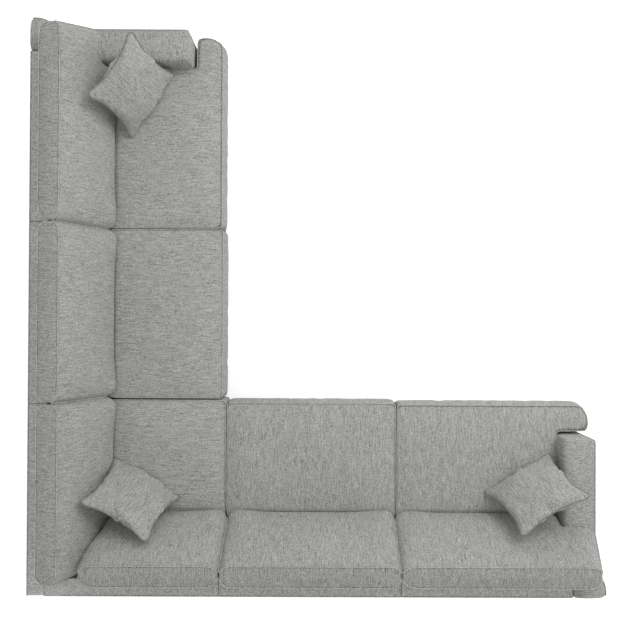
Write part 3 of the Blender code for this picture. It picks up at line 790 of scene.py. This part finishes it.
def make_arm(node, run):
    low, high = run.box(node)
    thick = high[0] - low[0]
    along = [low[0], *spread(low[0] + ARM_INNER_ROUND, high[0], ARM_EDGE, ARM_STEP)]
    shoulder = [blend(*SHOULDER, i / SHOULDER_STEPS) for i in range(SHOULDER_STEPS + 1)]
    forearm = spread(FOREARM_START, high[1], FOREARM_EDGE, FRAME_STEP)
    out = [low[1], low[1] + POST_ROUND, *shoulder, *forearm]
    bm = lattice([along, out, ARM_RISES], lambda cell: True, panel_axis=0)
    crease = bm.edges.layers.float["crease_edge"]
    weight = bm.verts.layers.deform.verify()
    for edge in bm.edges:
        if all(vert.co.x < low[0] + ON_FACE for vert in edge.verts):
            edge[crease] = 0
            for vert in edge.verts:
                vert[weight][0] = 0.0
    for vert in bm.verts:
        a, o, share = vert.co
        across = (a - low[0]) / thick
        z = blend(low[2], shoulder_top(o), share)
        if share > 0.999:
            z = z + PANEL_RISE * hill(across)
        if abs(o - high[1]) < ON_FACE:
            o = o - corner_inset(high[0] - a, ARM_FRONT_ROUND)
        if abs(o - low[1]) < ON_FACE:
            o = o + corner_inset(high[0] - a, POST_ROUND)
        vert.co = (a, o, z)
    return finish_form(bm, node + "_cover", run, arm_cloth_of[run.name])


def shoulder_top(out):
    """The height of the arm at a distance from the back: post, cosine shoulder, arm."""
    share = min(max((out - SHOULDER[0]) / (SHOULDER[1] - SHOULDER[0]), 0), 1)
    return blend(ARM_TOP, POST_TOP, (1 + math.cos(math.pi * share)) / 2)


def make_back_frame(node, run):
    low, high = run.box(node)
    along = spread(low[0], high[0], FRAME_EDGE, FRAME_STEP)
    out = [low[1], low[1] + FRAME_EDGE, high[1] - FRAME_EDGE, high[1]]
    heights = spread(low[2], high[2], FRAME_EDGE, FRAME_STEP)
    bm = lattice([along, out, heights], lambda cell: True, panel_axis=1)
    weight = bm.verts.layers.deform.verify()
    for vert in bm.verts:
        a, o, z = vert.co
        full = hill((a - low[0]) / (high[0] - low[0])) * hill((z - low[2]) / (high[2] - low[2]))
        if abs(o - low[1]) < ON_FACE:
            o = o + PANEL_RISE * (1 - full) * 0.5
        if abs(o - high[1]) < ON_FACE:
            vert[weight][0] = 0.0
        vert.co = (a, o, z)
    # the frame wears the paler cloth, painted light
    return finish_form(bm, node + "_cover", run, frame_painted_light_cloth_of[run.name])


frames = {}
for node, body, run in (
    ("corner_left_back_frame", "corner", LEFT), ("corner_rear_back_frame", "corner", RIGHT),
    ("armless_left_back_frame", "armless_left", LEFT), ("armless_right_back_frame", "armless_right", RIGHT),
    ("armed_left_back_frame", "armed_left", LEFT), ("armed_right_back_frame", "armed_right", RIGHT),
):
    frames[node] = (make_back_frame(node, run), body)
for run in (LEFT, RIGHT):
    node = "armed_%s_arm" % run.name
    frames[node] = (make_arm(node, run), "armed_" + run.name)
print("padded", len(frames), "frames and arms")

# %% [markdown]
# ## Throw pillows
# A throw pillow is two squares of cloth sewn round the edge and stuffed. The best way to get its
# ears and its drawn-in sides is to do just that: two flat sheets that share an edge, pressure
# inside, and a cloth simulation that lets the sides come in as the middle swells. The pattern is
# cut with round corners, so that the ears stay modest, and its sides curve in slightly.

# %% Pillows
PILLOW_TILT = math.radians(61)
PILLOW_HEADINGS = {"left": 147.0, "corner": 239.5, "right": -59.0}
PILLOW_CELLS = 36
PATTERN_CORNER = 0.050
PATTERN_CORNER_POWER = 7
PATTERN_BOW = -0.018
PILLOW_REACH = (1.02, 1.07)
PILLOW_TAPER = 0.035
PILLOW_BACK = 0.50
PILLOW_WAIST = 0.845
SLUMP = {"left": -0.053, "corner": 0.0, "right": 0.053}
NUDGE = {"left": (0.009, 0.005, 0), "corner": (0, 0, 0), "right": (0.006, 0.007, 0)}
PILLOW_START = 0.020
WELD = 0.0001
RIM_THIN = 0.00001


def pillow_axes(heading):
    """Across, up the pillow and out of its face, for a pillow that leans towards a heading."""
    back = Vector((math.cos(heading), math.sin(heading), 0))
    rise = back * math.cos(PILLOW_TILT) + Vector((0, 0, math.sin(PILLOW_TILT)))
    across = rise.cross(back).normalized()
    return Matrix((across, rise, across.cross(rise))).transposed()


def pillow_room(node, axes):
    """The middle and size of a packed pillow, measured along its own axes."""
    local = np.array([axes.transposed() @ v.co for v in frame["nodes"][node].data.vertices])
    low, high = local.min(0), local.max(0)
    return axes @ Vector((low + high) / 2), Vector(high - low)


def pattern(u, v):
    """A point of the flat pattern, from -1 to 1: bowed sides and round corners."""
    bow = 1 + PATTERN_BOW * (1 - v * v)
    cut = 1 - PATTERN_CORNER * (u * u * v * v) ** PATTERN_CORNER_POWER
    return u * bow * cut


def make_pillow(name, heading):
    node = "throw_pillow_" + name
    axes = pillow_axes(math.radians(heading))
    middle, size = pillow_room(node, axes)
    shares = [2 * i / PILLOW_CELLS - 1 for i in range(PILLOW_CELLS + 1)]
    bm = lattice([shares, shares, [-1, 1]], lambda cell: True, panel_axis=2)
    for vert in bm.verts:
        u, v, side = vert.co
        full = hill((u + 1) / 2) * hill((v + 1) / 2)
        thick = PILLOW_START * full * side / 2
        vert.co = (pattern(u, v) * size.x / 2, pattern(v, u) * size.y / 2, thick)
    bmesh.ops.remove_doubles(bm, verts=bm.verts, dist=WELD)
    rim = [vert for vert in bm.verts if abs(vert.co.z) < RIM_THIN]
    weight = bm.verts.layers.deform.verify()
    for vert in bm.verts:
        vert[weight][0] = 0.0
    for vert in rim:
        vert[weight][0] = 1.0
    obj = new_piece(bm, node + "_cover", (pillow_cloth, pillow_cloth))
    obj.matrix_world = Matrix.Translation(middle + Vector(NUDGE[name])) @ axes.to_4x4()
    pillow_sizes[obj.name] = np.array(size)
    print(obj.name, "measures", [round(v, 3) for v in size], "with", len(rim), "points on its rim")
    return obj


pillow_sizes = {}
pillow_cloth = make_cloth("heathered_cloth_pillow", thin=0, side_thin=1)
# the pillows' piping wears a darker cloth, painted shade
pillow_piping_cloth = make_cloth(
    "heathered_piping_pillow", thin=0, side_thin=1, shade=PILLOW_PIPING_PAINTED_SHADE, sewn=False)
pillows = {name: make_pillow(name, heading) for name, heading in PILLOW_HEADINGS.items()}

# %% [markdown]
# ## Filling the cushions
# Cloth with air pressure inside swells as a stuffed cover does: the seams hold, and the panels rise
# between them. All covers are simulated at once, so that the frames are stepped only once. A soft
# limit then caps how far each point of a cushion has moved. The pressure pinches the pillows' sides,
# so they are let out to a gentle bow, and the hidden back of each pillow is pressed flatter.

# %% Fill
FILL_FRAMES = 14
CUSHION_PRESSURE = 1.6
PILLOW_PRESSURE = 5.0
SWELL_CAP = 0.016
SEAT_SWELL_CAP = 0.009
SPARE_CLOTH = 0.012
SEWN = 0.99


def add_filling(obj, pressure, held=True, spare=0.0):
    cloth = obj.modifiers.new("filling", "CLOTH")
    settings = cloth.settings
    settings.use_pressure = True
    settings.uniform_pressure_force = pressure
    settings.effector_weights.gravity = 0
    settings.quality = 5
    settings.tension_stiffness = 40
    settings.compression_stiffness = 40
    settings.shear_stiffness = 12
    settings.bending_stiffness = 0.6
    settings.shrink_min = -spare
    if held:
        settings.vertex_group_mass = SEAM_GROUP
        settings.pin_stiffness = 1
    cloth.point_cache.frame_start = 1
    cloth.point_cache.frame_end = FILL_FRAMES


def capped(before, after, cap):
    move = after - before
    length = np.linalg.norm(move, axis=1, keepdims=True)
    return before + move * cap * np.tanh(length / cap) / np.maximum(length, 1e-9)


def fill_all(covers, pillow_covers):
    before = {obj.name: points_of(obj) for obj in covers + pillow_covers}
    for obj in covers:
        add_filling(obj, CUSHION_PRESSURE, spare=SPARE_CLOTH)
    for obj in pillow_covers:
        add_filling(obj, PILLOW_PRESSURE, held=False)
    for number in range(1, FILL_FRAMES + 1):
        bpy.context.scene.frame_set(number)
    for obj in covers + pillow_covers:
        apply_modifiers(obj)
    bpy.context.scene.frame_set(1)
    for obj in covers:
        cap = SEAT_SWELL_CAP if "seat" in obj.name else SWELL_CAP
        after = capped(before[obj.name], points_of(obj), cap)
        move_points(obj, after)
        print(obj.name, "swelled by up to", round(float(np.abs(after - before[obj.name]).max()), 4))


def let_out(points, rim, axis):
    """The sides that the filling pinched in along an axis are let out to a gentle bow."""
    other = 1 - axis
    let = points[:, axis].copy()
    for side in (-1, 1):
        seam = rim[rim[:, axis] * side > np.abs(rim[:, other])]
        seam = seam[np.argsort(seam[:, other])]
        half, reach = np.abs(seam[:, (axis, other)]).max(0)
        pinched = np.interp(points[:, other], seam[:, other], np.abs(seam[:, axis]))
        share = np.clip(points[:, other] / reach, -1, 1) ** 2
        wanted = half * (1 - (1 - PILLOW_WAIST) * (1 - share))
        on_side = points[:, axis] * side > 0
        let[on_side] = (points[:, axis] * blend(wanted / pinched, 1, share ** 2))[on_side]
    return let


fill_all(list(seats.values()) + list(backs.values()), list(pillows.values()))
for name, pillow in pillows.items():
    points = points_of(pillow)
    span = points.max(0) - points.min(0)
    points = (points - (points.max(0) + points.min(0)) / 2) * (pillow_sizes[pillow.name] / span)
    rim = points[seam_weights(pillow) > SEWN]
    let = [let_out(points, rim, axis) for axis in (0, 1)]
    further = round(float((let[0] - points[:, 0]).max()), 4)
    print(pillow.name, "spanned", span.round(3), "and is let out by", further)
    points[:, 0], points[:, 1] = let[0] * PILLOW_REACH[0], let[1] * PILLOW_REACH[1]
    points[:, 2] = np.where(points[:, 2] > 0, points[:, 2] * PILLOW_BACK, points[:, 2])
    height = points[:, 1] / points[:, 1].max()
    points[:, 0] = points[:, 0] * (1 - PILLOW_TAPER * height) + SLUMP[name] * points[:, 1]
    move_points(pillow, points)

# %% [markdown]
# ## Each cushion in its own room
# Stuffed neighbours press each other flat. So every cushion gets a room: the walls are the ends of
# its module, the seat under it, the frame behind it and, on the arm modules, the arm. Points that
# swelled through a wall are put back on it, which leaves the flat patch of a real contact. The
# armless seats are narrower under the back cushions, so that they lift out past the next module's.
# Pillow points that sank into a cushion, frame or arm are put back on its surface.

# %% Rooms
WALL_GAP = 0.0004
SEAT_SIDE_ROOM = 0.0048
REAR_NARROWER = 0.0185
BACK_FOOT = 0.356
PILLOW_GAP = 0.0010
WING_FOOT_GAP = 0.006
POST_GAP = 0.005
PROBE = Vector((0.05, 0.03, 1)).normalized()
PROBE_STEP = 0.0001
MOST_CROSSINGS = 9
MEASURED_EVERY = 7


def run_points(obj, run):
    turn = np.array(run.axes)
    return (points_of(obj) - np.array(run.corner)) @ turn


def put_run_points(obj, run, local):
    turn = np.array(run.axes)
    move_points(obj, local @ turn.T + np.array(run.corner))


def nearer_wall(first, first_wall, second, second_wall, inside):
    """Points inside a block leave it by whichever of its two walls is nearer."""
    by_first = np.abs(first - first_wall) < np.abs(second - second_wall)
    first = np.where(inside & by_first, first_wall, first)
    second = np.where(inside & ~by_first, second_wall, second)
    return first, second


def room_for_seat(obj, node, run, armed):
    low, high = run.box(node)
    a, o, z = run_points(obj, run).T
    by_frame = "corner" in node
    a = np.clip(a, low[0] + (WALL_GAP if by_frame else -SEAT_SIDE_ROOM), high[0] + SEAT_SIDE_ROOM)
    if "armless" in node:
        narrower = REAR_NARROWER * np.interp(o, RELIEF_ENDS, (1, 0))
        a = np.clip(a, low[0] - SEAT_SIDE_ROOM + narrower, high[0] + SEAT_SIDE_ROOM - narrower)
    o = np.maximum(o, low[1] + WALL_GAP)
    z = np.maximum(z, low[2])
    z = np.where((o < BACK_FOOT) | ((a < BACK_FOOT) & by_frame), np.minimum(z, REST_TOP), z)
    if armed:
        arm_low, arm_high = run.box(node.replace("seat_cushion", "arm"))
        side, notch = arm_low[0] - ARM_GAP, arm_high[1] + NOTCH_GAP
        a, o = nearer_wall(a, side, o, notch, (a > side) & (o < notch))
    put_run_points(obj, run, np.stack((a, o, z), axis=1))


def room_for_back(obj, node, run, armed):
    low, high = run.box(node)
    low_along, high_along = back_ends(node, run)
    a, o, z = run_points(obj, run).T
    share = np.clip((z - low[2]) / (FRONT_SEAM_TOP - low[2]), 0, 1)
    pushed = short_end(share) if "corner_rear" in node else 0.0
    a = np.clip(a, low_along + pushed, high_along)
    if "corner_left" in node:
        short_low = back_ends("corner_rear_back_cushion", RIGHT)[0]
        wall = short_low + short_end(share) - WALL_GAP
        o = np.where(a < BACK_FOOT, np.minimum(o, wall), o)
    o = np.maximum(o, low[1])
    z = np.maximum(z, low[2])
    if armed:
        side = run.box(node.replace("back_cushion", "arm"))[0][0] - ARM_GAP
        over = ARM_TOP + WING_FOOT_GAP
        a, z = nearer_wall(a, side, z, over, (a > side) & (z < over))
        shoulder = np.array([shoulder_out(height) for height in z]) + POST_GAP
        o = np.where(a > side, np.maximum(o, shoulder), o)
    put_run_points(obj, run, np.stack((a, o, z), axis=1))


def is_inside(tree, point):
    """A line from a point inside a closed skin leaves it through an odd number of faces."""
    crossings = 0
    start = point
    while crossings < MOST_CROSSINGS:
        hit, normal, index, gap = tree.ray_cast(start, PROBE)
        if hit is None:
            break
        crossings += 1
        start = hit + PROBE * PROBE_STEP
    return crossings % 2 == 1


def room_for_pillow(pillow, neighbours):
    """Points that sank into a neighbour are put back on its surface, as a flat patch of contact."""
    back = pillow.matrix_world.inverted()
    for other in neighbours:
        skin = [other.matrix_world @ v.co for v in other.data.vertices]
        tree = BVHTree.FromPolygons(skin, [p.vertices for p in other.data.polygons])
        pressed = 0
        for vert in pillow.data.vertices:
            point = pillow.matrix_world @ vert.co
            if is_inside(tree, point):
                near, normal, index, gap = tree.find_nearest(point)
                vert.co = back @ (near + normal * PILLOW_GAP)
                pressed += 1
        print(pillow.name, "rests", pressed, "points on", other.name)


def distance_to(obj, node):
    """How far the points of a cover lie outside (+) or inside (-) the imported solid."""
    mesh = frame["nodes"][node].data
    tree = BVHTree.FromPolygons([v.co for v in mesh.vertices], [p.vertices for p in mesh.polygons])
    found = []
    for vert in list(obj.data.vertices)[::MEASURED_EVERY]:
        point = obj.matrix_world @ vert.co
        near, normal, index, gap = tree.find_nearest(point)
        found.append(math.copysign(gap, (point - near).dot(normal)))
    return np.array(found)


rides = {}
pillow_rides = {}
for name, obj in seats.items():
    run = LEFT if "left" in name else RIGHT
    room_for_seat(obj, name + "_seat_cushion", run, "armed" in name)
    rides[name + "_seat_cushion"] = (obj, name + "_seat")
for node, obj in backs.items():
    run = LEFT if "left" in node else RIGHT
    room_for_back(obj, node, run, "armed" in node)
    rides[node] = (obj, node.replace("_cushion", ""))
for name, obj in pillows.items():
    module = "corner" if name == "corner" else "armed_" + name
    dressed = [cover for cover, body in [*rides.values(), *frames.values()]]
    room_for_pillow(obj, [cover for cover in dressed if cover.name.startswith(module)])
    pillow_rides["throw_pillow_" + name] = (obj, name + "_pillow")
rides.update(pillow_rides)

# %% [markdown]
# ## Fine surface, seams and piping
# One more subdivision smooths the simulated cloth. The seam stays creased. Then each seam is
# followed from point to point into loops, and a thin cord, the piping, is laid along them, half
# sunk into the seam. The cords wear a paler copy of the cloth as a painted highlight, and on the
# pillows a darker copy as painted shade.

# %% Piping
PIPING_RADIUS = 0.0026
PILLOW_PIPING_RADIUS = 0.0032
PIPING_SUNK = 0.45
PIPING_SPACING = 2
SHORTEST_SEAM = 12


def smooth_once(obj):
    weights = seam_weights(obj)
    crease = obj.data.attributes.get("crease_edge") or obj.data.attributes.new("crease_edge", "FLOAT", "EDGE")
    ends = np.empty(len(obj.data.edges) * 2, np.int32)
    obj.data.edges.foreach_get("vertices", ends)
    sewn = (weights[ends.reshape(-1, 2)] > SEWN).all(axis=1)
    crease.data.foreach_set("value", sewn.astype(np.float32))
    subdivide(obj, 1)


def mark_seams(obj):
    # The seam weights drive the painted shade and the bump's dip along the seams in the cloth
    shade = obj.data.attributes.new(SEAM_SHADE, "FLOAT", "POINT")
    shade.data.foreach_set("value", seam_weights(obj).astype(np.float32))


def seam_loops(obj):
    """The seam's edges, chained into closed loops of vertex numbers."""
    weights = seam_weights(obj)
    beside = {}
    for edge in obj.data.edges:
        first, second = edge.vertices
        if weights[first] > SEWN and weights[second] > SEWN:
            beside.setdefault(first, []).append(second)
            beside.setdefault(second, []).append(first)
    loops = []
    left = {knot for knot, others in beside.items() if len(others) == 2}
    while left:
        loop = [min(left)]
        left.discard(loop[0])
        while True:
            onward = [knot for knot in beside[loop[-1]] if knot in left]
            if not onward:
                break
            loop.append(onward[0])
            left.discard(onward[0])
        loops.append(loop)
    return [loop for loop in loops if len(loop) > SHORTEST_SEAM]


def add_piping(obj, radius, material):
    curve = bpy.data.curves.new(obj.name + "_cord", "CURVE")
    curve.dimensions = "3D"
    curve.bevel_depth = radius
    curve.bevel_resolution = 2
    for loop in seam_loops(obj):
        kept = loop[::PIPING_SPACING]
        spline = curve.splines.new("POLY")
        spline.points.add(len(kept) - 1)
        spline.use_cyclic_u = True
        for point, knot in zip(spline.points, kept):
            vert = obj.data.vertices[knot]
            point.co = (*(vert.co + vert.normal * radius * PIPING_SUNK), 1)
    cord = add_object(curve.name, curve)
    graph = bpy.context.evaluated_depsgraph_get()
    mesh = bpy.data.meshes.new_from_object(cord.evaluated_get(graph), depsgraph=graph)
    bpy.data.objects.remove(cord)
    bpy.data.curves.remove(curve)
    mesh.name = obj.name.replace("_cover", "_piping")
    mesh.materials.clear()
    mesh.materials.append(material)
    mesh.shade_smooth()
    piping = add_object(mesh.name, mesh)
    piping.matrix_world = obj.matrix_world
    return piping


for node, (obj, body) in {**rides, **frames}.items():
    is_cushion = node in rides
    if is_cushion:
        smooth_once(obj)
    mark_seams(obj)
    radius = PILLOW_PIPING_RADIUS if "pillow" in node else PIPING_RADIUS
    # cushion piping wears the paler cloth, a painted highlight; pillow piping the darker one, painted shade
    piping = add_piping(obj, radius, pillow_piping_cloth if "pillow" in node else piping_cloth)
    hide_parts(node)
    for piece in (obj, piping):
        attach(piece, body)
    proud = distance_to(obj, node) * 1000
    print("%-34s mean %5.1f mm, from %5.1f to %5.1f" % (node, proud.mean(), proud.min(), proud.max()))

# %% [markdown]
# ## Floor and light
# The sofa stands on a plain white floor. The floor is a white surface that takes the shadow, and it
# glows a little where it is seen, directly, in a reflection or through glass, so that it shows as
# white without adding light to the sofa.
# A large soft lamp over the open side of the L lights the fronts of the back cushions, and an even
# sky fills the rest.

# %% Light
FLOOR_SIZE = 30.0
SKY_STRENGTH = 0.72
AIM = Vector((0, 0, 0.4))
KEY_PLACE = Vector((2.6, 2.6, 4.2))
KEY_POWER = 118.0
KEY_SIZE = 3.0
FLOOR_GLOW = 0.5

floor_paint = Paint("floor_white", Base_Color=(0.92, 0.92, 0.92, 1), Roughness=1.0)
floor_paint.shader.inputs["Emission Color"].default_value = (1, 1, 1, 1)
floor_paint.shader.inputs["Emission Strength"].default_value = 1.0
seen = {0: floor_paint.seen_directly() * FLOOR_GLOW}
glow = floor_paint.node("ShaderNodeMix", {"data_type": "RGBA"}, seen, out=2)
glow_mix = glow.socket.node
glow_mix.inputs[6].default_value = (0, 0, 0, 1)
glow_mix.inputs[7].default_value = (1, 1, 1, 1)
floor_paint.wear(Emission_Color=glow)

bpy.ops.mesh.primitive_plane_add(size=FLOOR_SIZE, location=(0, 0, -0.0005))
floor = bpy.context.object
floor.name = "floor"
floor.data.materials.append(floor_paint.material)

world = bpy.data.worlds.new("soft_sky")
bpy.context.scene.world = world
world.use_nodes = True
sky = Nodes(world.node_tree)
background = world.node_tree.nodes["Background"]
background.inputs["Color"].default_value = (1, 1, 1, 1)
shown = {"Value": sky.seen_directly(), "To Min": SKY_STRENGTH, "To Max": 1.0}
sky.feed(background.inputs["Strength"], sky.node("ShaderNodeMapRange", None, shown))

key_data = bpy.data.lights.new("key_softbox", "AREA")
key_data.energy = KEY_POWER
key_data.size = KEY_SIZE
key = add_object("key_softbox", key_data)
key.location = KEY_PLACE
key.rotation_euler = (AIM - KEY_PLACE).to_track_quat("-Z", "Y").to_euler()
key.visible_camera = False
print("the softbox stands", round((AIM - KEY_PLACE).length, 2), "m from the sofa")

bpy.context.scene.view_settings.view_transform = "Standard"
